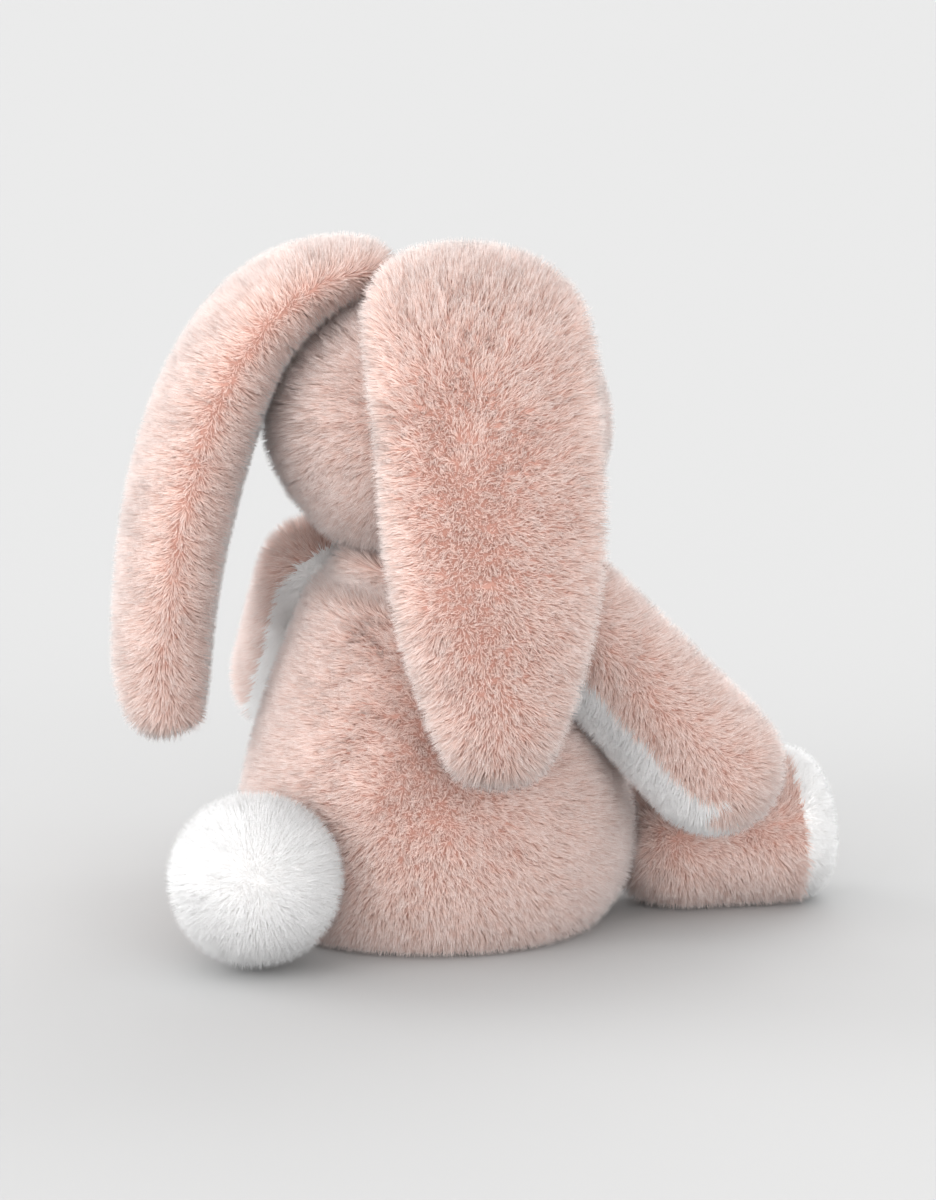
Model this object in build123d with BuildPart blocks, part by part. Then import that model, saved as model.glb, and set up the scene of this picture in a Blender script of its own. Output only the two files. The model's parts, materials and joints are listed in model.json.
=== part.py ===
from build123d import *
from math import acos, cos, degrees, radians, sin
import os

# A plush rabbit sitting upright. Millimetres, +Z up, the floor at z = 0.
# The rabbit faces -Y, its right side is -X, and the torso's axis is the Z axis.

# Driving dimensions -------------------------------------------------------------------
WALL = 6.0  # fur fabric: backing plus its pressed-down pile
GAP = 0.3  # between a cover and what fills it
SEAM = 0.2  # between two panels that are sewn edge to edge

TORSO_TOP_Z = 118.0
TORSO_TOP_R = 39.0
TORSO_BASE_R = 53.0
TORSO_SIDE = ((62.0, 12.0), (66.0, 32.0), (63.0, 56.0), (56.5, 79.0), (48.0, 101.0))
BASE_PANEL_R = 46.0
BELLY_HALF_ANGLE = 50.0
POUCH_R = 30.0
POUCH_BOTTOM_Z = 10.0
POUCH_TOP_Z = 32.0

NECK_R = 34.0
NECK_DOME = 8.6  # the neck's top falls away this much, which lets the head nod
HEAD_Y = -5.0
HEAD_Z = 176.0
HEAD_RX = 56.0
HEAD_RZ = 48.0
HEAD_STEPS = 6  # points that set the head's curve
GUSSET_W = 34.0

EYE_TURN = 25.0
EYE_RISE = 4.0
EYE_R = 7.0
EYE_SINK = 2.8
SHANK_R = 1.6
SHANK_L = 13.0
WASHER_R = 6.5
WASHER_T = 1.6
NOSE_RISE = -4.0
NOSE_W = 14.0
MOUTH_RISE = -21.0
MOUTH_R = 4.6
THREAD_T = 1.6
THREAD_LIFT = 0.8  # clears the head's curve behind a flat patch of thread

EAR_HEADING = {"left": 38.0, "right": 56.0}  # from straight back towards its own side
# One row per station from root to tip: out from the head's axis, height, width, thickness
EAR_STATIONS = (
    (21.0, 229.5, 30.0, 11.0),
    (42.0, 227.0, 57.0, 18.0),
    (65.0, 210.5, 71.0, 25.0),
    (80.0, 184.5, 69.0, 29.0),
    (89.5, 155.0, 67.0, 30.0),
    (95.5, 124.0, 60.0, 28.0),
    (98.0, 96.0, 44.0, 26.0),
    (96.5, 72.0, 22.0, 17.0),
)
EAR_FABRIC = 3.5
BATTING_GAP = 0.5

SHOULDER = (62.0, -3.0, 116.0)
SHOULDER_R = 18.5
HAND_R = 21.0
ARM_LENGTH = 76.0
ARM_WAY = {"left": (44.0, -30.0, -44.0), "right": (-27.0, -47.0, -57.0)}
ARM_SEAM_FACING = (1.0, 0.0, 0.55)  # the outer panel faces out and somewhat up

HIP = (48.0, -78.0)
LEG_SPLAY = 30.0
HIP_R = 24.0
FOOT_R = 27.0
LEG_LENGTH = 38.0
SOLE_T = 13.0
SOLE_ROUND = 10.0

TAIL_R = 25.5
TAIL_X = -8.5
TAIL_Y = 91.8
TAIL_Z = 31.0

SIDES = {"left": 1, "right": -1}


def save(builder, name):
    builder.part.label = name
    export_step(builder.part, f"parts/{name}.step")


def torso_profile(inset):
    """Half outline of the pear-shaped torso, pulled in by inset, in the XZ plane."""
    side = [(r - inset, max(z, inset + 4.0)) for r, z in TORSO_SIDE]
    base = (TORSO_BASE_R - inset, inset)
    top = (TORSO_TOP_R - inset, TORSO_TOP_Z - inset)
    with BuildSketch(Plane.XZ) as profile:
        with BuildLine():
            Polyline((0, top[1]), (0, base[1]), base)
            Spline(base, *side, top)
            Line(top, (0, top[1]))
        make_face()
    return profile.sketch


def head_profile(inset):
    """Half outline of the egg-shaped head, cut flat at the neck, in the XZ plane."""
    rx = HEAD_RX - inset
    rz = HEAD_RZ - inset
    cut = degrees(acos((NECK_R + 2 - inset / 2) / rx))
    steps = [-cut + (90 + cut) * i / HEAD_STEPS for i in range(HEAD_STEPS + 1)]
    side = [(rx * cos(radians(a)), HEAD_Z + rz * sin(radians(a))) for a in steps]
    with BuildSketch(Plane.XZ.offset(-HEAD_Y)) as profile:
        with BuildLine():
            Spline(*side)
            Polyline(side[-1], (0, side[0][1]), side[0])
        make_face()
    return profile.sketch


def limb_plane(start, end):
    """Plane at start whose z direction runs along the limb, x direction level."""
    along = Vector(*end) - Vector(*start)
    return Plane(origin=start, x_dir=along.cross(Vector(0, 0, 1)), z_dir=along)


def limb_profile(plane, length, start_r, end_r, inset, flat_end):
    """Half outline of a limb: a round start, a taper, and a round or flat end."""
    side = Plane(origin=plane.origin, x_dir=plane.x_dir, z_dir=-plane.y_dir)
    r0 = start_r - inset
    r1 = end_r - inset
    with BuildSketch(side) as profile:
        with BuildLine():
            Line((0, -r0), (0, length if flat_end else length + r1))
            CenterArc((0, 0), r0, -90, 90)
            Line((r0, 0), (r1, length))
            if flat_end:
                Line((r1, length), (0, length))
            else:
                CenterArc((0, length), r1, 0, 90)
        make_face()
    return profile.sketch


def outward(sign, angle):
    """Level unit vector, square to the seam that lies angle degrees either side of -Y."""
    return Vector(sign * cos(radians(angle)), sin(radians(angle)), 0)


def on_head(turn, rise, depth):
    """Plane on the head's outside, z pointing out and x level, moved inwards by depth."""
    level = Vector(cos(radians(turn)), sin(radians(turn)), 0)
    across = Vector(sin(radians(turn)), -cos(radians(turn)), 0)
    point = across * HEAD_RX * cos(radians(rise)) + Vector(0, HEAD_Y, HEAD_Z + HEAD_RZ * sin(radians(rise)))
    normal = across * (cos(radians(rise)) / HEAD_RX) + Vector(0, 0, sin(radians(rise)) / HEAD_RZ)
    return Plane(origin=point, x_dir=level, z_dir=normal).offset(-depth)


head_axis = Axis((0, HEAD_Y, 0), (0, 0, 1))
torso_outer = torso_profile(0)
torso_cavity = torso_profile(WALL)
torso_fill = torso_profile(WALL + GAP)
head_outer = head_profile(0)
head_cavity = head_profile(WALL)
head_fill = head_profile(WALL + GAP)

os.makedirs("parts", exist_ok=True)

# Torso: base, belly and two back panels, stuffing, and a pouch of beans in the seat ----
with BuildPart() as base_panel:
    with BuildSketch():
        Circle(BASE_PANEL_R - SEAM)
    extrude(amount=WALL - GAP)
save(base_panel, "base_panel")

for side, sign in SIDES.items():
    seam = outward(sign, BELLY_HALF_ANGLE)
    with BuildPart() as back:
        revolve(torso_outer, axis=Axis.Z)
        revolve(torso_cavity, axis=Axis.Z, mode=Mode.SUBTRACT)
        Cylinder(BASE_PANEL_R, WALL * 2, mode=Mode.SUBTRACT)
        split(bisect_by=Plane(origin=(sign * SEAM / 2, 0, 0), z_dir=(sign, 0, 0)))
        split(bisect_by=Plane(origin=seam * (SEAM / 2), z_dir=seam))
    save(back, f"torso_back_{side}")

with BuildPart() as belly:
    revolve(torso_outer, axis=Axis.Z)
    revolve(torso_cavity, axis=Axis.Z, mode=Mode.SUBTRACT)
    Cylinder(BASE_PANEL_R, WALL * 2, mode=Mode.SUBTRACT)
    for sign in SIDES.values():
        seam = outward(sign, BELLY_HALF_ANGLE)
        split(bisect_by=Plane(origin=seam * (-SEAM / 2), z_dir=-seam))
save(belly, "belly_panel")

pouch_z = (POUCH_BOTTOM_Z + POUCH_TOP_Z) / 2
pouch_height = POUCH_TOP_Z - POUCH_BOTTOM_Z
with BuildPart() as torso_stuffing:
    revolve(torso_fill, axis=Axis.Z)
    with Locations((0, 0, pouch_z)):
        Cylinder(POUCH_R + GAP, pouch_height + 2 * GAP, mode=Mode.SUBTRACT)
save(torso_stuffing, "torso_stuffing")

with BuildPart() as pouch:
    with Locations((0, 0, pouch_z)):
        Cylinder(POUCH_R, pouch_height)
    fillet(pouch.edges().filter_by(GeomType.CIRCLE), pouch_height * 0.4)
save(pouch, "bean_pouch")

# Neck: the short gathered tube that the head turns and nods on ---------------------------
head_low = min(v.Z for v in head_outer.vertices())
neck_low = TORSO_TOP_Z + GAP
neck_high = head_low - GAP
with BuildPart() as neck:
    with BuildSketch(Plane.XZ.offset(-HEAD_Y)):
        Polygon(
            (0, neck_low), (NECK_R, neck_low), (NECK_R, neck_high - NECK_DOME), (0, neck_high), align=None
        )
    revolve(axis=head_axis)
save(neck, "neck_gather")

# Head: two side panels and a centre gusset over stuffing --------------------------------
for side, sign in SIDES.items():
    eye = on_head(sign * EYE_TURN, EYE_RISE, -THREAD_LIFT)
    with BuildPart() as cheek:
        revolve(head_outer, axis=head_axis)
        revolve(head_cavity, axis=head_axis, mode=Mode.SUBTRACT)
        split(bisect_by=Plane(origin=(sign * GUSSET_W / 2, 0, 0), z_dir=(sign, 0, 0)))
        with Locations(eye):
            Cylinder(SHANK_R + SEAM, WALL * 4, mode=Mode.SUBTRACT)
    save(cheek, f"head_side_{side}")

    with BuildPart() as eyeball:
        with Locations(eye.offset(-EYE_SINK)):
            Sphere(EYE_R)
        with Locations(eye):
            Cylinder(
                EYE_R * 2, EYE_R * 2, align=(Align.CENTER, Align.CENTER, Align.MAX), mode=Mode.SUBTRACT
            )
            Cylinder(SHANK_R, SHANK_L, align=(Align.CENTER, Align.CENTER, Align.MAX))
    save(eyeball, f"eye_{side}")

    with BuildPart() as washer:
        with BuildSketch(on_head(sign * EYE_TURN, EYE_RISE, WALL + 2 * WASHER_T)):
            Circle(WASHER_R)
            Circle(SHANK_R + SEAM, mode=Mode.SUBTRACT)
        extrude(amount=WASHER_T)
    save(washer, f"eye_washer_{side}")

with BuildPart() as gusset:
    revolve(head_outer, axis=head_axis)
    revolve(head_cavity, axis=head_axis, mode=Mode.SUBTRACT)
    for sign in SIDES.values():
        edge = sign * (GUSSET_W / 2 - SEAM)
        split(bisect_by=Plane(origin=(edge, 0, 0), z_dir=(-sign, 0, 0)))
save(gusset, "head_gusset")

with BuildPart() as head_stuffing:
    revolve(head_fill, axis=head_axis)
    for sign in SIDES.values():
        with Locations(on_head(sign * EYE_TURN, EYE_RISE, WALL)):
            Cylinder(WASHER_R + GAP, SHANK_L * 2, mode=Mode.SUBTRACT)
save(head_stuffing, "head_stuffing")

# Embroidered nose and mouth, lying on the gusset -----------------------------------------
with BuildPart() as nose:
    with BuildSketch(on_head(0, NOSE_RISE, -THREAD_LIFT)):
        with BuildLine():
            FilletPolyline(
                (-NOSE_W / 2, 0), (NOSE_W / 2, 0), (0, -NOSE_W * 0.7), radius=NOSE_W * 0.15, close=True
            )
        make_face()
    extrude(amount=THREAD_T)
save(nose, "nose_stitching")

with BuildPart() as mouth:
    with BuildSketch(on_head(0, MOUTH_RISE, -THREAD_LIFT)):
        for sign in SIDES.values():
            with Locations((sign * MOUTH_R, 0)):
                Circle(MOUTH_R)
                Circle(MOUTH_R - THREAD_T, mode=Mode.SUBTRACT)
        with Locations((0, MOUTH_R / 2 + THREAD_T)):
            Rectangle(MOUTH_R * 5, MOUTH_R * 2, mode=Mode.SUBTRACT)
    extrude(amount=THREAD_T)
save(mouth, "mouth_stitching")

# Ears: a fur back, a pale lining, and thin batting between them -------------------------
def ear_section(plane, width, thickness, layer):
    """Closed outline across the ear: an oval core, or the half ring of fabric on one side."""
    w = width / 2
    t = thickness / 2
    centre = (0, layer * SEAM / 2)
    half_turn = 180 * layer
    with BuildSketch(plane) as section:
        if layer == 0:
            Ellipse(w - EAR_FABRIC - BATTING_GAP, t - EAR_FABRIC - BATTING_GAP)
        else:
            with BuildLine():
                outer = EllipticalCenterArc(centre, w, t, start_angle=0, arc_size=half_turn)
                inner = EllipticalCenterArc(
                    centre, w - EAR_FABRIC, t - EAR_FABRIC, start_angle=0, arc_size=half_turn
                )
                Line(outer @ 0, inner @ 0)
                Line(outer @ 1, inner @ 1)
            make_face()
    return section.sketch


def ear_planes(side):
    """One plane per station, z along the ear and y pointing to its outside."""
    turn = radians(EAR_HEADING[side])
    heading = Vector(SIDES[side] * sin(turn), cos(turn), 0)
    points = [heading * out + Vector(0, HEAD_Y, z) for out, z, _, _ in EAR_STATIONS]
    across = Vector(0, 0, 1).cross(heading)
    planes = []
    for index, point in enumerate(points):
        before = points[max(index - 1, 0)]
        after = points[min(index + 1, len(points) - 1)]
        planes.append(Plane(origin=point, x_dir=across, z_dir=after - before))
    return planes


for side in SIDES:
    for name, layer in (("ear_back", 1), ("ear_lining", -1), ("ear_batting", 0)):
        with BuildPart() as built:
            sections = [
                ear_section(plane, width, thickness, layer)
                for plane, (_, _, width, thickness) in zip(ear_planes(side), EAR_STATIONS)
            ]
            loft(sections)
        save(built, f"{name}_{side}")

# Arms: an outer and an inner panel over stuffing, each a round-ended tapered tube -------
for side, sign in SIDES.items():
    shoulder = Vector(sign * SHOULDER[0], SHOULDER[1], SHOULDER[2])
    arm = limb_plane(shoulder, shoulder + Vector(*ARM_WAY[side]))
    arm_axis = Axis(arm.origin, arm.z_dir)
    outer = limb_profile(arm, ARM_LENGTH, SHOULDER_R, HAND_R, 0, False)
    cavity = limb_profile(arm, ARM_LENGTH, SHOULDER_R, HAND_R, WALL, False)
    fill = limb_profile(arm, ARM_LENGTH, SHOULDER_R, HAND_R, WALL + GAP, False)
    facing = Vector(sign * ARM_SEAM_FACING[0], ARM_SEAM_FACING[1], ARM_SEAM_FACING[2])
    facing = (facing - arm.z_dir * facing.dot(arm.z_dir)).normalized()
    for name, way in (("arm_outer", 1), ("arm_inner", -1)):
        with BuildPart() as panel:
            revolve(outer, axis=arm_axis)
            revolve(cavity, axis=arm_axis, mode=Mode.SUBTRACT)
            split(bisect_by=Plane(origin=arm.origin + facing * (way * SEAM / 2), z_dir=facing * way))
        save(panel, f"{name}_{side}")
    with BuildPart() as arm_stuffing:
        revolve(fill, axis=arm_axis)
    save(arm_stuffing, f"arm_stuffing_{side}")

# Legs: an outer and an inner panel, a round sole, and stuffing --------------------------
for side, sign in SIDES.items():
    way = Vector(sign * sin(radians(LEG_SPLAY)), -cos(radians(LEG_SPLAY)), 0)
    hip = Vector(sign * HIP[0], HIP[1], HIP_R)
    foot = hip + way * LEG_LENGTH + Vector(0, 0, FOOT_R - HIP_R)
    leg = limb_plane(hip, foot)
    leg_axis = Axis(leg.origin, leg.z_dir)
    length = (foot - hip).length
    outer = limb_profile(leg, length, HIP_R, FOOT_R, 0, True)
    cavity = limb_profile(leg, length, HIP_R, FOOT_R, WALL, True)
    fill = limb_profile(leg, length - GAP, HIP_R, FOOT_R, WALL + GAP, True)
    for name, turn in (("leg_outer", 1), ("leg_inner", -1)):
        facing = leg.x_dir * turn * (1 if leg.x_dir.X * sign > 0 else -1)
        with BuildPart() as panel:
            revolve(outer, axis=leg_axis)
            revolve(cavity, axis=leg_axis, mode=Mode.SUBTRACT)
            split(bisect_by=Plane(origin=leg.origin + facing * (SEAM / 2), z_dir=facing))
        save(panel, f"{name}_{side}")
    with BuildPart() as leg_stuffing:
        revolve(fill, axis=leg_axis)
    save(leg_stuffing, f"leg_stuffing_{side}")
    with BuildPart() as sole:
        with BuildSketch(leg.offset(length + GAP)):
            Circle(FOOT_R)
        extrude(amount=SOLE_T)
        fillet(sole.faces().sort_by(leg_axis)[-1].edges(), SOLE_ROUND)
    save(sole, f"sole_{side}")

# Tail: a round pompom cover over its stuffing --------------------------------------------
tail_centre = (TAIL_X, TAIL_Y, TAIL_Z)
with BuildPart() as tail_cover:
    with Locations(tail_centre):
        Sphere(TAIL_R)
        Sphere(TAIL_R - WALL, mode=Mode.SUBTRACT)
save(tail_cover, "tail_cover")

with BuildPart() as tail_stuffing:
    with Locations(tail_centre):
        Sphere(TAIL_R - WALL - GAP)
save(tail_stuffing, "tail_stuffing")
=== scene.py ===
import json
import math

import bmesh
import bpy
import numpy as np
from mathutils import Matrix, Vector, noise
from mathutils.bvhtree import BVHTree


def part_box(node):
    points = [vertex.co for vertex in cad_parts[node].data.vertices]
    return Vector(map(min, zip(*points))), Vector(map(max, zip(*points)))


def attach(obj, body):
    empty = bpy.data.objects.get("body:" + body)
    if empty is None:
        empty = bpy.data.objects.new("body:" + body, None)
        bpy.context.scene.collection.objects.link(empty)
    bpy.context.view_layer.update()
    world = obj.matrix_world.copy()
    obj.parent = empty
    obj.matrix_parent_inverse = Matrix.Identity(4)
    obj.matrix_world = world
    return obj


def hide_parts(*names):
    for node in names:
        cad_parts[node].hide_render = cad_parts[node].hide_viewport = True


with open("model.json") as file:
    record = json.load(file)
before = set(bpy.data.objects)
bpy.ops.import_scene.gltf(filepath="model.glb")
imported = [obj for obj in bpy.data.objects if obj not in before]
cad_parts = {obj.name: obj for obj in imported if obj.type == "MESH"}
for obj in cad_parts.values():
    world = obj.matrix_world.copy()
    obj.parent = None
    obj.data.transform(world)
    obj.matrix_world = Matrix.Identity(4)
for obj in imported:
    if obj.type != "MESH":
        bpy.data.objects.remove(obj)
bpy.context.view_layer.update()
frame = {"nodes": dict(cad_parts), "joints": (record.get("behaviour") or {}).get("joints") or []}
NODES = frame["nodes"]
JOINTS = {joint["name"]: joint for joint in frame["joints"]}
SIDES = {"left": 1, "right": -1}

# Fur, in metres -----------------------------------------------------------------------------
PILE = 0.0074  # free length of the long pile
SUNK = 0.0022  # how far the fabric lies under the CAD surface, which is the pressed pile
STRAND_W = 0.00035  # side of a strand's three-cornered root
STRANDS_PER_M2 = 4.2e6
FLOOR_CLEAR = 0.0004  # no fabric or strand comes nearer to the floor than this
VOXEL = 0.0026
RESTING = 0.005  # pile below this height is pressed down where it faces the floor
TUFTS = ((720, 0.34), (260, 0.24), (70, 0.20))  # noise scale per metre, and how far it bends a strand
STRAY = 0.10  # how far a single strand bends away from its tuft
LENGTH_SPREAD = (0.78, 1.08)
WIDTH_SPREAD = (0.7, 1.2)
CORNER_REACH = 0.58  # from the middle of a triangle to its corner, for a side of 1
ROOT_DEPTH = 0.0006
TONE_PER_TUFT = 0.7
TONE_SPREAD = 0.12
TONE_RANGE = (0.03, 0.97)
SKIN_UV = [[0.0, 0.49], [0.06, 0.49], [0.06, 0.52]]  # the fabric takes a strand's root colour, which holds painted shade of the deep pile
STRAND_TONE_UV = [-0.012, 0.012, 0.0]  # gives each strand's triangles some width in the UV map
ROUNDNESS = 0.45  # how far a strand's own roundness turns its root normals from the fabric's
rng = np.random.default_rng(7)


# Materials ---------------------------------------------------------------------------------
FUR_GRAIN = 900
THREAD_GRAIN = 1400
GRAIN_SHADES = (0.82, 1.15)


def new_material(name, roughness, sheen=0.0, sheen_tint=(1, 1, 1, 1), specular=0.3):
    mat = bpy.data.materials.new(name)
    mat.use_nodes = True
    shader = mat.node_tree.nodes["Principled BSDF"]
    shader.inputs["Roughness"].default_value = roughness
    shader.inputs["Sheen Weight"].default_value = sheen
    shader.inputs["Sheen Roughness"].default_value = 0.5
    shader.inputs["Sheen Tint"].default_value = sheen_tint
    shader.inputs["Specular IOR Level"].default_value = specular
    return mat, mat.node_tree, shader


def grain_noise(tree, scale):
    """A noise texture in the piece's own space."""
    grain = tree.nodes.new("ShaderNodeTexNoise")
    grain.inputs["Scale"].default_value = scale
    where = tree.nodes.new("ShaderNodeTexCoord")
    tree.links.new(where.outputs["Object"], grain.inputs["Vector"])
    return grain


def fur_material(name, root, body, tip, patch):
    """Colour runs from root to tip along each strand, and tufts differ by patch in brightness. The ramp is
    partly the fibre's own colour, partly painted shade darkening the root deep in the pile and painted
    light paling the tip.
    """
    mat, tree, shader = new_material(name, 0.9, sheen=0.25, specular=0.12)
    nodes, links = tree.nodes, tree.links
    place = nodes.new("ShaderNodeUVMap")
    place.uv_map = "OFBake"
    split = nodes.new("ShaderNodeSeparateXYZ")
    links.new(place.outputs[0], split.inputs[0])
    # root colour: the fibre's colour darkened with painted shade of the deep pile; tip colour: the fibre's
    # colour paled with painted light through the tips
    ramp = nodes.new("ShaderNodeValToRGB")
    ramp.color_ramp.interpolation = "EASE"
    ramp.color_ramp.elements[0].color = (*root, 1)
    ramp.color_ramp.elements[0].position = 0.0
    ramp.color_ramp.elements[1].color = (*tip, 1)
    ramp.color_ramp.elements[1].position = 1.0
    middle = ramp.color_ramp.elements.new(0.5)
    middle.color = (*body, 1)
    links.new(split.outputs["X"], ramp.inputs["Fac"])
    tone = nodes.new("ShaderNodeMapRange")
    tone.inputs["To Min"].default_value = 1.0 - patch
    tone.inputs["To Max"].default_value = 1.0 + patch
    links.new(split.outputs["Y"], tone.inputs["Value"])
    grain = grain_noise(tree, FUR_GRAIN)
    speck = nodes.new("ShaderNodeMapRange")
    speck.inputs["To Min"].default_value = 0.96
    speck.inputs["To Max"].default_value = 1.04
    links.new(grain.outputs["Fac"], speck.inputs["Value"])
    both = nodes.new("ShaderNodeMath")
    both.operation = "MULTIPLY"
    links.new(tone.outputs["Result"], both.inputs[0])
    links.new(speck.outputs["Result"], both.inputs[1])
    tint = nodes.new("ShaderNodeVectorMath")
    tint.operation = "SCALE"
    links.new(ramp.outputs["Color"], tint.inputs[0])
    links.new(both.outputs[0], tint.inputs["Scale"])
    links.new(tint.outputs["Vector"], shader.inputs["Base Color"])
    return mat


# root, body and tip colours: the root's is darkened by painted shade of the deep pile, the tip's paled by
# painted light through the tips
PINK = fur_material("pink_fur", (0.60, 0.36, 0.30), (0.79, 0.565, 0.495), (0.95, 0.83, 0.79), 0.14)
WHITE = fur_material("white_fur", (0.88, 0.865, 0.855), (0.955, 0.95, 0.945), (0.985, 0.985, 0.985), 0.02)
LINING = fur_material("pale_lining", (0.80, 0.74, 0.72), (0.90, 0.86, 0.84), (0.96, 0.94, 0.93), 0.04)


# Skins: one smooth surface per stuffed form, from its CAD nodes -----------------------------
def node_tree(name):
    """A CAD node's surface, for finding the nearest point on it."""
    data = NODES[name].data
    return BVHTree.FromPolygons([v.co for v in data.vertices], [p.vertices for p in data.polygons])


def gathered(names):
    """One bmesh of several CAD nodes."""
    whole = bmesh.new()
    for name in names:
        whole.from_mesh(NODES[name].data)
    return whole


def outer_shell(names, voxel, smoothing):
    """Remeshes the nodes into one smoothed form and returns its largest part, in triangles."""
    mesh = bpy.data.meshes.new("form")
    whole = gathered(names)
    whole.to_mesh(mesh)
    whole.free()
    form = bpy.data.objects.new("form", mesh)
    bpy.context.scene.collection.objects.link(form)
    remesh = form.modifiers.new("remesh", "REMESH")
    remesh.mode = "VOXEL"
    remesh.voxel_size = voxel
    smooth = form.modifiers.new("smooth", "SMOOTH")
    smooth.factor = 0.5
    smooth.iterations = smoothing
    bpy.context.view_layer.update()
    graph = bpy.context.evaluated_depsgraph_get()
    made = bpy.data.meshes.new_from_object(form.evaluated_get(graph))
    bpy.data.objects.remove(form)
    skin = bmesh.new()
    skin.from_mesh(made)
    bpy.data.meshes.remove(made)
    bmesh.ops.triangulate(skin, faces=skin.faces[:])
    keep_largest(skin)
    return skin


def keep_largest(skin):
    """Deletes all but the connected part with the most faces."""
    skin.faces.ensure_lookup_table()
    seen = set()
    best = []
    for face in skin.faces:
        if face.index in seen:
            continue
        part = [face]
        seen.add(face.index)
        for current in part:
            for edge in current.edges:
                for other in edge.link_faces:
                    if other.index not in seen:
                        seen.add(other.index)
                        part.append(other)
        if len(part) > len(best):
            best = part
    kept = set(best)
    bmesh.ops.delete(skin, geom=[f for f in skin.faces if f not in kept], context="FACES")


def pressed(point, normal):
    """Up to 1 where the form faces down onto the floor, 0 from RESTING above it."""
    low = np.clip((RESTING - point[:, 2]) / RESTING, 0, 1)
    return low * np.clip((-normal[:, 2] - 0.5) / 0.4, 0, 1)


def skin_arrays(skin, sunk):
    """Vertices pulled in by sunk, or less where pressed, their outward normals, and the triangles."""
    skin.normal_update()
    skin.verts.index_update()
    co = np.array([v.co for v in skin.verts])
    no = np.array([v.normal for v in skin.verts])
    tri = np.array([[v.index for v in f.verts] for f in skin.faces])
    co = co - no * (sunk * (1 - 0.8 * pressed(co, no)))[:, None]
    co[:, 2] = np.maximum(co[:, 2], FLOOR_CLEAR)
    return co, no, tri


def panel_of_faces(co, no, tri, sunk, names):
    """For each triangle, the index of the CAD panel nearest to it."""
    trees = [node_tree(name) for name in names]
    centre = co[tri].mean(1) + no[tri].mean(1) * sunk
    best = np.zeros(len(tri), int)
    for i, point in enumerate(centre):
        reach = [tree.find_nearest(point)[3] for tree in trees]
        best[i] = int(np.argmin(reach))
    return best


# Fur --------------------------------------------------------------------------------------
def unit(v):
    return v / np.maximum(np.linalg.norm(v, axis=-1, keepdims=True), 1e-9)


def noise_vectors(points, scale, seed):
    shift = Vector((seed * 3.1, seed * 1.7, seed * 5.3))
    return np.array([noise.noise_vector(Vector(p) * scale + shift) for p in points])


def roots_on(co, no, tri, per_m2):
    """Random points on the triangles, with their normals and the triangle of each."""
    a, b, c = co[tri[:, 0]], co[tri[:, 1]], co[tri[:, 2]]
    area = np.linalg.norm(np.cross(b - a, c - a), axis=1) / 2
    count = int(area.sum() * per_m2)
    pick = rng.choice(len(tri), count, p=area / area.sum())
    u = rng.random((count, 1))
    v = rng.random((count, 1))
    over = (u + v) > 1
    u = np.where(over, 1 - u, u)
    v = np.where(over, 1 - v, v)
    point = a[pick] + u * (b - a)[pick] + v * (c - a)[pick]
    corner = no[tri[pick]]
    normal = unit(corner[:, 0] * (1 - u - v) + corner[:, 1] * u + corner[:, 2] * v)
    return point, normal, pick


def strands(point, normal, comb, length, lean, width, tufting):
    """Thin three-sided spikes, combed, gathered into tufts by noise: vertices and tone."""
    count = len(point)
    tuft = np.zeros((count, 3))
    for seed, (scale, bend) in enumerate(TUFTS, start=1):
        tuft = tuft + noise_vectors(point, scale, seed) * bend
    tuft = tuft * tufting
    tuft -= normal * (tuft * normal).sum(1, keepdims=True)
    stray = rng.normal(0, STRAY, (count, 3))
    comb = comb - normal * (comb * normal).sum(1, keepdims=True)
    way = unit(normal + unit(comb) * lean + tuft + stray)
    size = length * rng.uniform(*LENGTH_SPREAD, count)
    side = unit(np.cross(way, rng.normal(0, 1, (count, 3))))
    other = np.cross(way, side)
    w = (width * rng.uniform(*WIDTH_SPREAD, count))[:, None]
    base = point - normal * ROOT_DEPTH
    verts = np.empty((count, 4, 3))
    for corner in range(3):
        angle = corner * 2 * math.pi / 3
        ring = (side * math.cos(angle) + other * math.sin(angle)) * w * CORNER_REACH
        verts[:, corner] = base + ring
    verts[:, 3] = base + way * size[:, None]
    verts[:, :, 2] = np.maximum(verts[:, :, 2], FLOOR_CLEAR)
    tone = 0.5 + TONE_PER_TUFT * tuft[:, 0] + rng.normal(0, TONE_SPREAD, count)
    return verts, np.clip(tone, *TONE_RANGE)


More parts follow.
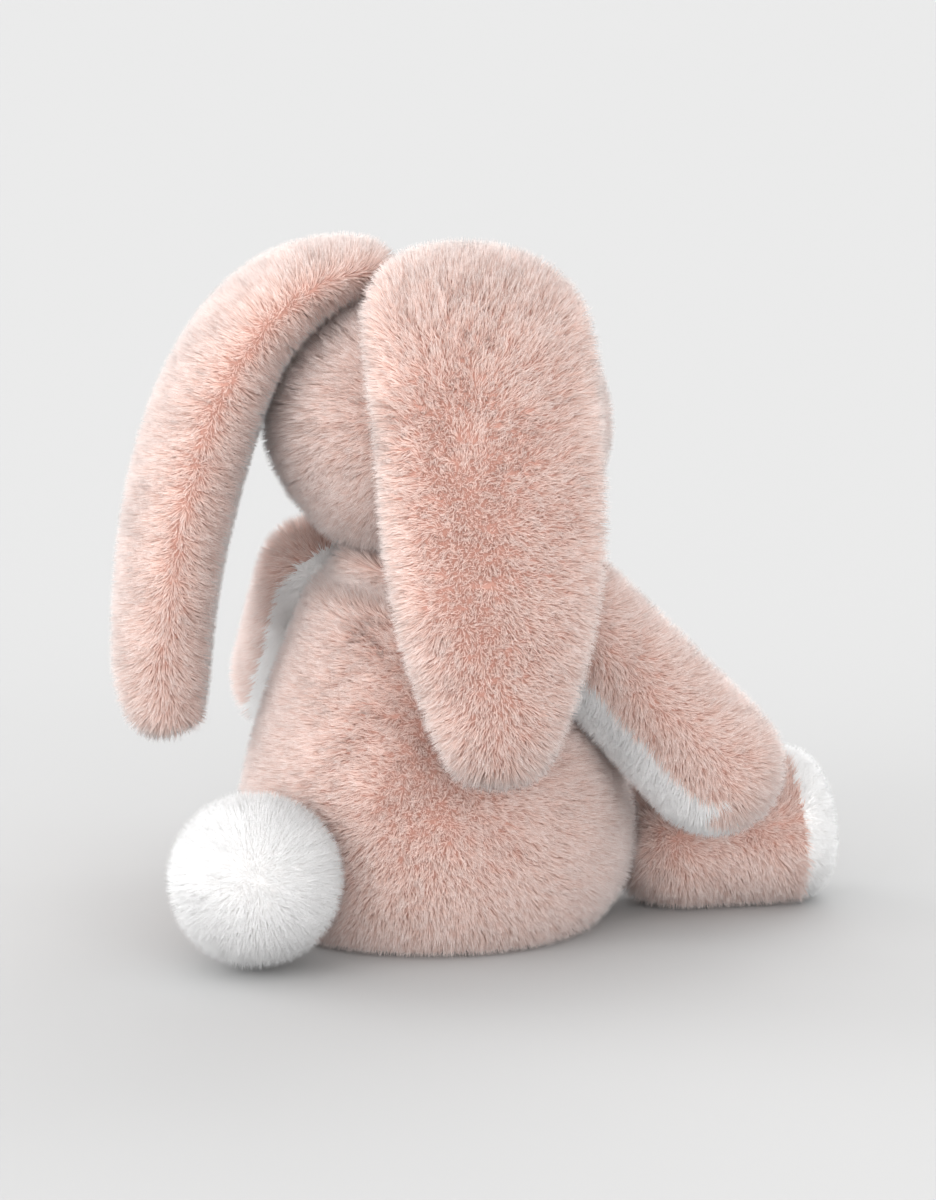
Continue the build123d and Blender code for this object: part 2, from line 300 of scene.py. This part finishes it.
def fur_piece(name, skin_co, skin_no, skin_tri, verts, normal, tone, material):
    """One mesh of a panel's fabric and its strands."""
    used, packed = np.unique(skin_tri, return_inverse=True)
    base = skin_co[used]
    base_no = skin_no[used]
    tri = packed.reshape(-1, 3)
    count = len(verts)
    first = len(base) + 4 * np.arange(count)[:, None]
    sides = np.array([[0, 1, 3], [1, 2, 3], [2, 0, 3]])
    spikes = (first[:, :, None] + sides[None]).reshape(-1, 3)
    faces = np.concatenate([tri, spikes])
    co = np.concatenate([base, verts.reshape(-1, 3)])
    mesh = bpy.data.meshes.new(name)
    mesh.vertices.add(len(co))
    mesh.vertices.foreach_set("co", co.astype(np.float32).ravel())
    mesh.loops.add(len(faces) * 3)
    mesh.loops.foreach_set("vertex_index", faces.astype(np.int32).ravel())
    mesh.polygons.add(len(faces))
    mesh.polygons.foreach_set("loop_start", np.arange(0, len(faces) * 3, 3, dtype=np.int32))
    mesh.update(calc_edges=True)
    uv = np.empty((len(faces), 3, 2), np.float32)
    uv[: len(tri)] = np.array(SKIN_UV)
    strand_uv = uv[len(tri):].reshape(count, 3, 3, 2)
    # x runs from 0 at the root to 1 at the tip, for the ramp's painted shade at the root and painted light
    # at the tip
    strand_uv[..., 0] = np.array([0.0, 0.0, 1.0])
    strand_uv[..., 1] = tone[:, None, None] + np.array(STRAND_TONE_UV)
    layer = mesh.uv_layers.new(name="OFBake")
    layer.data.foreach_set("uv", uv.ravel())
    mesh.polygons.foreach_set("use_smooth", np.ones(len(faces), bool))
    away = verts[:, :3] - verts[:, :3].mean(1, keepdims=True)
    soft = unit(unit(away) * ROUNDNESS + normal[:, None, :])
    tip = normal[:, None, :]
    strand_no = np.concatenate([soft, tip], axis=1).reshape(-1, 3)
    vertex_no = np.concatenate([base_no, strand_no]).astype(np.float32)
    mesh.normals_split_custom_set_from_vertices(vertex_no)
    mesh.materials.append(material)
    piece = bpy.data.objects.new(name, mesh)
    bpy.context.scene.collection.objects.link(piece)
    return piece


def plush(body, panels, inside, comb_at, lean=0.13, smoothing=8, sunk=SUNK, pile_at=None, reassign=None,
          bodies=None, left_out=(), thickness=1.0, tufting=1.0, tone_and_painted_light=None):
    """Covers one stuffed form in fabric and strands.

    panels is {CAD node: (material, slot, pile length)}, and inside and left_out only shape the form.
    pile_at multiplies the pile's length by place, reassign moves triangles to another panel, and the tone
    function's result is added to the strands' tone; the ears use it for a lower tone with painted light
    round their rims.
    """
    names = list(panels)
    skin = outer_shell(names + list(inside) + list(left_out), VOXEL, smoothing)
    co, no, tri = skin_arrays(skin, sunk)
    skin.free()
    owner = panel_of_faces(co, no, tri, sunk, names + list(left_out))
    kept = owner < len(names)
    tri = tri[kept]
    owner = owner[kept]
    if reassign is not None:
        owner = reassign(owner, co[tri].mean(1), unit(no[tri].mean(1)))
    point, normal, pick = roots_on(co, no, tri, STRANDS_PER_M2 / thickness ** 2)
    comb = comb_at(point, normal)
    length = np.array([panels[n][2] for n in names])[owner[pick]]
    if pile_at is not None:
        length = length * pile_at(point)
    length = length * (1 - 0.75 * pressed(point, normal))
    verts, tone = strands(point, normal, comb, length, lean, STRAND_W * thickness, tufting)
    # on the ears this adds painted light round the rim to the tone
    if tone_and_painted_light is not None:
        tone = np.clip(tone + tone_and_painted_light(normal), *TONE_RANGE)
    for i, name in enumerate(names):
        material, slot, _ = panels[name]
        mine = owner[pick] == i
        piece = fur_piece(f"{name}_fur", co, no, tri[owner == i], verts[mine], normal[mine], tone[mine],
                          material)
        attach(piece, (bodies or {}).get(name, body))
        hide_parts(name)


def combed(way):
    """A comb direction that is the same everywhere."""
    return lambda point, normal: np.broadcast_to(np.array(way, float), point.shape)


def joint_at(name):
    return np.array(JOINTS[name]["pos_m"])


def centre_of(name):
    low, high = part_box(name)
    return np.array((low + high) / 2)


# Torso --------------------------------------------------------------------------------------
def torso_comb(point, normal):
    """Down, swinging a little to either side with height."""
    around = np.stack([-point[:, 1], point[:, 0], 0 * point[:, 0]], axis=1)
    return np.array([0, 0, -1.0]) + unit(around) * 0.25 * np.sin(point[:, 2:3] * 70)


pink = (PINK, "pink_fur", PILE)
neck_z = joint_at("neck_turn")[2]
NECK_SEAM_ABOVE = 0.012  # of neck_turn's height
NECK_REACH = 0.030
NECK_TOP_ABOVE = 0.005
NECK_TOP_R = 0.024
NECK_TOP_PILE = 0.12
LIMBS = [f"{panel}_{side}" for panel in ("arm_outer", "arm_inner", "leg_outer", "leg_inner")
         for side in SIDES]


def near_neck(point):
    """The pile is left longer about the neck, so that it hides the seam."""
    away = np.abs(point[:, 2] - neck_z - NECK_SEAM_ABOVE)
    return 1 + 0.45 * np.clip(1 - away / NECK_REACH, 0, 1)


def torso_pile(point):
    """Longer about the neck and near the limbs, and next to nothing on the neck's top.

    The neck's top is pressed up against the head.
    """
    axis = joint_at("neck_nod")[:2]
    above = point[:, 2] > neck_z + NECK_TOP_ABOVE
    top = above & (np.linalg.norm(point[:, :2] - axis, axis=1) < NECK_TOP_R)
    return np.where(top, NECK_TOP_PILE, near_neck(point) * near_parts(point, LIMBS, 0.022, 0.8))


def near_parts(point, names, reach, extra):
    """The pile is left longer, by up to extra, within reach of the named CAD nodes."""
    gap = np.full(len(point), reach)
    for name in names:
        tree = node_tree(name)
        near = np.array([tree.find_nearest(p, reach)[3] or reach for p in point])
        gap = np.minimum(gap, near)
    return 1 + extra * (1 - gap / reach)


plush("torso", {"torso_back_left": pink, "torso_back_right": pink, "belly_panel": pink,
                "neck_gather": pink,
                "base_panel": (PINK, "pink_fur", PILE * 0.3)}, ["torso_stuffing"], torso_comb,
      smoothing=14, pile_at=torso_pile, bodies={"neck_gather": "neck"})

# Head ---------------------------------------------------------------------------------------
head_low, head_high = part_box("head_gusset")
head_mid = np.array((head_low + head_high) / 2)
nose_at = centre_of("nose_stitching")
mouth_at = centre_of("mouth_stitching")
eyes_at = [centre_of("eye_left"), centre_of("eye_right")]
SNOUT_PILE = 0.42  # share of the pile left on the snout, and what it gains away from it
SNOUT_GAIN = 0.58
EYE_PILE = 0.55  # the same about the eyes
EYE_GAIN = 0.45
EARS = [f"ear_back_{side}" for side in SIDES] + [f"ear_lining_{side}" for side in SIDES]


def head_comb(point, normal):
    """Back and down from a parting on the snout."""
    away = point - nose_at
    return unit(away) + np.array([0, 0.3, -0.5])


def head_pile(point):
    """Clipped short about the nose, the mouth and the eyes, and longer near the neck and the ears."""
    near = np.minimum(np.linalg.norm(point - nose_at, axis=1), np.linalg.norm(point - mouth_at, axis=1))
    trim = SNOUT_PILE + SNOUT_GAIN * np.clip((near - 0.012) / 0.016, 0, 1)
    for eye in eyes_at:
        reach = np.linalg.norm(point - eye, axis=1)
        trim = np.minimum(trim, EYE_PILE + EYE_GAIN * np.clip((reach - 0.011) / 0.008, 0, 1))
    return trim * near_neck(point) * near_parts(point, EARS, 0.030, 1.0)


plush("head", {"head_side_left": pink, "head_side_right": pink, "head_gusset": pink},
      ["head_stuffing"], head_comb, smoothing=14, pile_at=head_pile, left_out=["neck_gather"])


# Ears ---------------------------------------------------------------------------------------
SPINE_EDGES = 9
SPINE_BLEND = 0.022  # distance along which neighbouring parts of an ear's centre line share the comb
EDGE_FACING = 0.32  # how far a face turns across the ear before it counts as the ear's edge
# where the rim begins, then the painted light added to the tone round the ear's rim, and how far the whole
# ear's tone is lowered
RIM_FROM = 0.30
RIM_PAINTED_LIGHT = 0.42
EAR_DARKER = 0.06


def along_ear(side):
    """Comb direction from the ear's own centre line, root to tip."""
    co = np.array([v.co for v in NODES[f"ear_batting_{side}"].data.vertices])
    root = joint_at(f"ear_{side}_flap")
    reach = np.linalg.norm(co - root, axis=1)
    edges = np.linspace(0, reach.max() * 1.001, SPINE_EDGES)
    spine = np.array([co[(reach >= a) & (reach < b)].mean(0) for a, b in zip(edges, edges[1:])
                      if ((reach >= a) & (reach < b)).any()])
    ways = unit(np.gradient(spine, axis=0))

    def comb(point, normal):
        gap = np.linalg.norm(point[:, None] - spine[None], axis=2)
        weight = np.exp(-((gap / SPINE_BLEND) ** 2)) + 1e-9
        return unit((weight[:, :, None] * ways[None]).sum(1))

    return comb


def across_ear(side):
    """The ear's width direction, level."""
    heading = unit((centre_of(f"ear_batting_{side}") - head_mid) * np.array([1, 1, 0]))
    return np.array([-heading[1], heading[0], 0])


def turned_under(across):
    """The pink back wraps round the ear's edge, so the lining keeps only the flat inner face."""
    return lambda owner, centre, normal: np.where(np.abs(normal @ across) > EDGE_FACING, 0, owner)


def ear_tone_and_painted_rim_light(across):
    """The whole ear's tone is lowered a little, and painted light lightens it round its rim."""
    def tone_and_painted_light(normal):
        # painted light round the ear's rim
        edgewise = np.clip((np.abs(normal @ across) - RIM_FROM) / 0.5, 0, 1)
        return RIM_PAINTED_LIGHT * edgewise - EAR_DARKER

    return tone_and_painted_light


for side in SIDES:
    plush(f"ear_{side}", {f"ear_back_{side}": pink,
                          f"ear_lining_{side}": (LINING, "pale_lining", PILE * 0.75)},
          [f"ear_batting_{side}"], along_ear(side), lean=0.08, smoothing=12, sunk=0.0004, thickness=1.14,
          reassign=turned_under(across_ear(side)), tone_and_painted_light=ear_tone_and_painted_rim_light(across_ear(side)))


# Arms and legs --------------------------------------------------------------------------------
UNDERSIDE = -0.42  # a face that points further down than this is the arm's underside
HAND_END = 0.3  # a face that points along the arm more than this is the end of the hand
TORSO_PANELS = ["torso_back_left", "torso_back_right", "belly_panel"]


def wrapped_white(down_arm):
    """The white inner panel wraps under the arm, but not round the end of the hand."""
    def reassign(owner, centre, normal):
        under = (normal[:, 2] < UNDERSIDE) & (normal @ down_arm < HAND_END)
        return np.where(under, 1, owner)

    return reassign


for side in SIDES:
    shoulder = joint_at(f"arm_{side}_swing")
    down_arm = unit(centre_of(f"arm_stuffing_{side}") - shoulder)
    plush(f"arm_{side}", {f"arm_outer_{side}": pink, f"arm_inner_{side}": (WHITE, "white_fur", PILE * 0.9)},
          [f"arm_stuffing_{side}"], combed(down_arm + np.array([0, 0, -0.25])), sunk=0.0010,
          reassign=wrapped_white(down_arm))
    hip = joint_at(f"leg_{side}_splay")
    down_leg = unit(centre_of(f"leg_stuffing_{side}") - hip)
    plush(f"leg_{side}", {f"leg_outer_{side}": pink, f"leg_inner_{side}": pink,
                          f"sole_{side}": (WHITE, "white_fur", PILE * 0.7)},
          [f"leg_stuffing_{side}"], combed(down_leg + np.array([0, 0, -0.3])),
          pile_at=lambda point: near_parts(point, TORSO_PANELS, 0.020, 0.5))

# Tail -----------------------------------------------------------------------------------------
plush("tail", {"tail_cover": (WHITE, "white_fur", PILE * 1.1)}, ["tail_stuffing"], combed((0, 0, -1)),
      lean=0.04, smoothing=10, thickness=0.9, tufting=0.7)


# Face: threads laid side by side for the nose, and three thicker strokes for the mouth ------------
def plain_material(name, color, roughness, coat=0.0):
    """A material whose colour has a fine grain, for thread, plastic, filling and cloth."""
    mat, tree, shader = new_material(name, roughness)
    shader.inputs["Coat Weight"].default_value = coat
    grain = grain_noise(tree, THREAD_GRAIN)
    ramp = tree.nodes.new("ShaderNodeValToRGB")
    dark, light = GRAIN_SHADES
    ramp.color_ramp.elements[0].color = (*[c * dark for c in color], 1)
    ramp.color_ramp.elements[1].color = (*[min(c * light, 1) for c in color], 1)
    tree.links.new(grain.outputs["Fac"], ramp.inputs["Fac"])
    tree.links.new(ramp.outputs["Color"], shader.inputs["Base Color"])
    return mat


def thread_piece(name, paths, radius, material):
    """Round threads along the paths, as one mesh."""
    data = bpy.data.curves.new(name, "CURVE")
    data.dimensions = "3D"
    data.bevel_depth = radius
    data.bevel_resolution = 3
    data.resolution_u = 8
    data.use_fill_caps = True
    for path in paths:
        spline = data.splines.new("NURBS")
        spline.points.add(len(path) - 1)
        for dot, place in zip(spline.points, path):
            dot.co = (*place, 1)
        spline.order_u = 3
        spline.use_endpoint_u = True
    data.materials.append(material)
    curve = bpy.data.objects.new(name + "_curve", data)
    bpy.context.scene.collection.objects.link(curve)
    bpy.context.view_layer.update()
    mesh = bpy.data.meshes.new_from_object(curve.evaluated_get(bpy.context.evaluated_depsgraph_get()))
    bpy.data.objects.remove(curve)
    piece = bpy.data.objects.new(name, mesh)
    bpy.context.scene.collection.objects.link(piece)
    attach(piece, "head")
    return piece


THREAD = plain_material("rose_thread", (0.46, 0.20, 0.21), 0.55)
THREADS = 15
THREAD_R = 0.00055
MOUTH_THICKER = 1.25
low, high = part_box("nose_stitching")
nose_half = (high.x - low.x) / 2
nose_front = low.y
nose_paths = []
for i in range(THREADS):
    across = (2 * (i + 0.5) / THREADS - 1)
    drop = (high.z - low.z) * (1 - 0.82 * abs(across) ** 1.4)
    top = high.z - 0.0008 * abs(across) ** 3
    x = across * nose_half
    back = 0.0016 + 0.0010 * across ** 2
    nose_paths.append([(x, nose_front + back + 0.0022, top),
                       (x, nose_front + back - 0.0006, top - drop * 0.12),
                       (x * 0.97, nose_front + back - 0.0012, top - drop * 0.5),
                       (x * 0.92, nose_front + back - 0.0002, top - drop * 0.9),
                       (x * 0.90, nose_front + back + 0.0026, top - drop)])
nose = thread_piece("nose_threads", nose_paths, THREAD_R, THREAD)
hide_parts("nose_stitching")

mouth_low, mouth_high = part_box("mouth_stitching")
mouth_half = (mouth_high.x - mouth_low.x) / 2
mouth_y = (mouth_low.y + mouth_high.y) / 2
mouth_paths = [[(0, nose_front + 0.0030, low.z + 0.0006),
                (0, nose_front + 0.0024, (low.z + mouth_high.z) / 2),
                (0, mouth_y - 0.0006, mouth_high.z)]]
for sign in SIDES.values():
    mouth_paths.append([(0, mouth_y - 0.0006, mouth_high.z),
                        (sign * mouth_half * 0.10, mouth_y + 0.0002, mouth_low.z + 0.0012),
                        (sign * mouth_half * 0.55, mouth_y + 0.0008, mouth_low.z),
                        (sign * mouth_half * 0.92, mouth_y + 0.0004, mouth_low.z + 0.0014),
                        (sign * mouth_half, mouth_y + 0.0008, mouth_high.z)])
mouth = thread_piece("mouth_thread", mouth_paths, THREAD_R * MOUTH_THICKER, THREAD)
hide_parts("mouth_stitching")

# Plastic, filling and cloth: CAD nodes that keep their shape ------------------------------------
EYE = plain_material("black_eye", (0.012, 0.009, 0.008), 0.12, coat=0.35)
WASHER = plain_material("washer", (0.85, 0.85, 0.83), 0.4)
FILLING = plain_material("filling", (0.88, 0.88, 0.86), 0.95)
POUCH = plain_material("pouch_cloth", (0.80, 0.77, 0.70), 0.9)
for node_name, node in NODES.items():
    dress = None
    if node_name.startswith("eye_washer"):
        dress = WASHER
    elif node_name.startswith("eye"):
        dress = EYE
    elif "stuffing" in node_name or "batting" in node_name:
        dress = FILLING
    elif node_name == "bean_pouch":
        dress = POUCH
    if dress:
        node.data.materials.clear()
        node.data.materials.append(dress)

# Camera, light and floor --------------------------------------------------------------------
VIEW_AZIMUTH = math.radians(225)
VIEW_ELEVATION = math.radians(9.5)
VIEW_DISTANCE = 1.30
VIEW_TARGET = Vector((-0.0087, -0.0087, 0.114))
LENS = 111.4
SKY_LIGHT = 1.3  # the sky's strength as it lights the toy
SKY_SEEN = 0.83  # the sky's strength as the camera sees it, to suit the floor's tone
FLOOR_TONE = 0.44
FLOOR_HALF = 60.0


def direction(azimuth, elevation):
    """The way towards a point that stands at this azimuth and elevation from the origin."""
    return Vector((math.sin(azimuth) * math.cos(elevation), -math.cos(azimuth) * math.cos(elevation),
                   math.sin(elevation)))


back = direction(VIEW_AZIMUTH, VIEW_ELEVATION)
camera_data = bpy.data.cameras.new("camera")
camera_data.lens = LENS
camera_data.clip_end = 200
camera = bpy.data.objects.new("camera", camera_data)
camera.location = VIEW_TARGET + back * VIEW_DISTANCE
camera.rotation_euler = back.to_track_quat("Z", "Y").to_euler()
bpy.context.scene.collection.objects.link(camera)
bpy.context.scene.camera = camera

world = bpy.data.worlds.new("studio")
world.use_nodes = True
backdrop = world.node_tree.nodes["Background"]
backdrop.inputs["Color"].default_value = (1, 1, 1, 1)
seen = world.node_tree.nodes.new("ShaderNodeLightPath")
strength = world.node_tree.nodes.new("ShaderNodeMapRange")
strength.inputs["To Min"].default_value = SKY_LIGHT
strength.inputs["To Max"].default_value = SKY_SEEN
world.node_tree.links.new(seen.outputs["Is Camera Ray"], strength.inputs["Value"])
world.node_tree.links.new(strength.outputs["Result"], backdrop.inputs["Strength"])
bpy.context.scene.world = world
bpy.context.scene.view_settings.view_transform = "Standard"


def sun(name, azimuth, elevation, strength, spread):
    """A soft sun that shines from the given side, spread being its width in degrees."""
    data = bpy.data.lights.new(name, "SUN")
    data.energy = strength
    data.angle = math.radians(spread)
    lamp = bpy.data.objects.new(name, data)
    lamp.rotation_euler = direction(azimuth, elevation).to_track_quat("Z", "Y").to_euler()
    bpy.context.scene.collection.objects.link(lamp)


sun("key_light", math.radians(178), math.radians(14), 1.7, 50)
sun("fill_light", math.radians(240), math.radians(4), 2.4, 60)
sun("rim_light", math.radians(112), math.radians(25), 0.9, 40)
sun("front_light", math.radians(25), math.radians(24), 1.6, 60)

floor_mesh = bpy.data.meshes.new("floor")
corners = [(-FLOOR_HALF, -FLOOR_HALF, 0), (FLOOR_HALF, -FLOOR_HALF, 0),
           (FLOOR_HALF, FLOOR_HALF, 0), (-FLOOR_HALF, FLOOR_HALF, 0)]
floor_mesh.from_pydata(corners, [], [(0, 1, 2, 3)])
floor = bpy.data.objects.new("floor", floor_mesh)
floor_material, _, floor_shader = new_material("floor", 0.9, specular=0.0)
floor_shader.inputs["Base Color"].default_value = (FLOOR_TONE, FLOOR_TONE, FLOOR_TONE, 1)
floor_mesh.materials.append(floor_material)
bpy.context.scene.collection.objects.link(floor)
